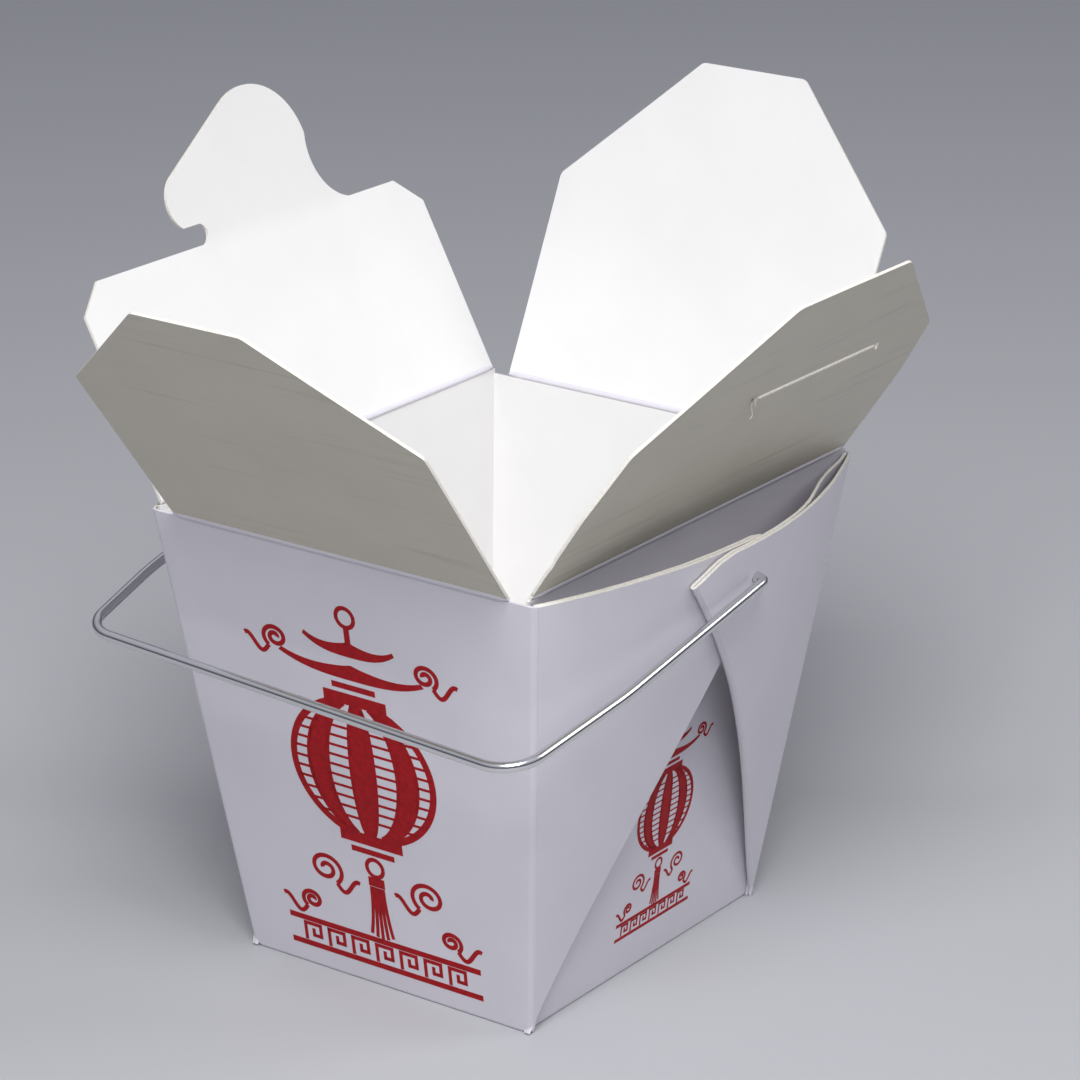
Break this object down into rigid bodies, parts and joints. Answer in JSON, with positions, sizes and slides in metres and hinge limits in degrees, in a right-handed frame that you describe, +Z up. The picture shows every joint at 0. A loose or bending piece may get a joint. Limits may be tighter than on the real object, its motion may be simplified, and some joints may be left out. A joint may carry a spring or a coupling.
{
  "type": "takeout carton",
  "caption": "Tapered paperboard takeout carton with folded corner webs, open lid flaps, a hooked locking tab and slit, and a swinging wire carrying bail.",
  "frame": {"origin": "middle of the underside of the base", "axes": "+Z up; X runs across the narrow walls, with the slot flap at +X and the tab flap at -X; Y runs across the wide end panels, with the bail hanging towards -Y"},
  "size_m": [0.1306, 0.1582, 0.1395],
  "materials": {
    "paperboard": "clay-coated white board, soft satin, with a deep red print",
    "steel_wire": "bright zinc-plated drawn wire"
  },
  "bodies": {
    "carton": {"carton_body": "paperboard"},
    "front_flap": {"front_flap": "paperboard"},
    "back_flap": {"back_flap": "paperboard"},
    "slot_flap": {"slot_flap": "paperboard"},
    "tab_flap": {"tab_flap": "paperboard"},
    "bail": {"wire_bail": "steel_wire"}
  },
  "joints": [
    {"name": "front_flap_crease", "type": "hinge", "parent": "carton", "child": "front_flap", "pos_m": [0, -0.04725, 0.0822], "axis": [-1, 0, 0], "range_deg": [-42.5, 128.1]},
    {"name": "back_flap_crease", "type": "hinge", "parent": "carton", "child": "back_flap", "pos_m": [0, 0.04725, 0.0822], "axis": [1, 0, 0], "range_deg": [-53, 119.2]},
    {"name": "slot_flap_crease", "type": "hinge", "parent": "carton", "child": "slot_flap", "pos_m": [0.03755, 0, 0.083], "axis": [0, -1, 0], "range_deg": [-47, 123]},
    {"name": "tab_flap_crease", "type": "hinge", "parent": "carton", "child": "tab_flap", "pos_m": [-0.03755, 0, 0.083], "axis": [0, 1, 0], "range_deg": [-51.5, 113.5]},
    {"name": "bail_swing", "type": "hinge", "parent": "carton", "child": "bail", "pos_m": [0, 0.003, 0.074], "axis": [-1, 0, 0], "range_deg": [-33, 27]}
  ]
}
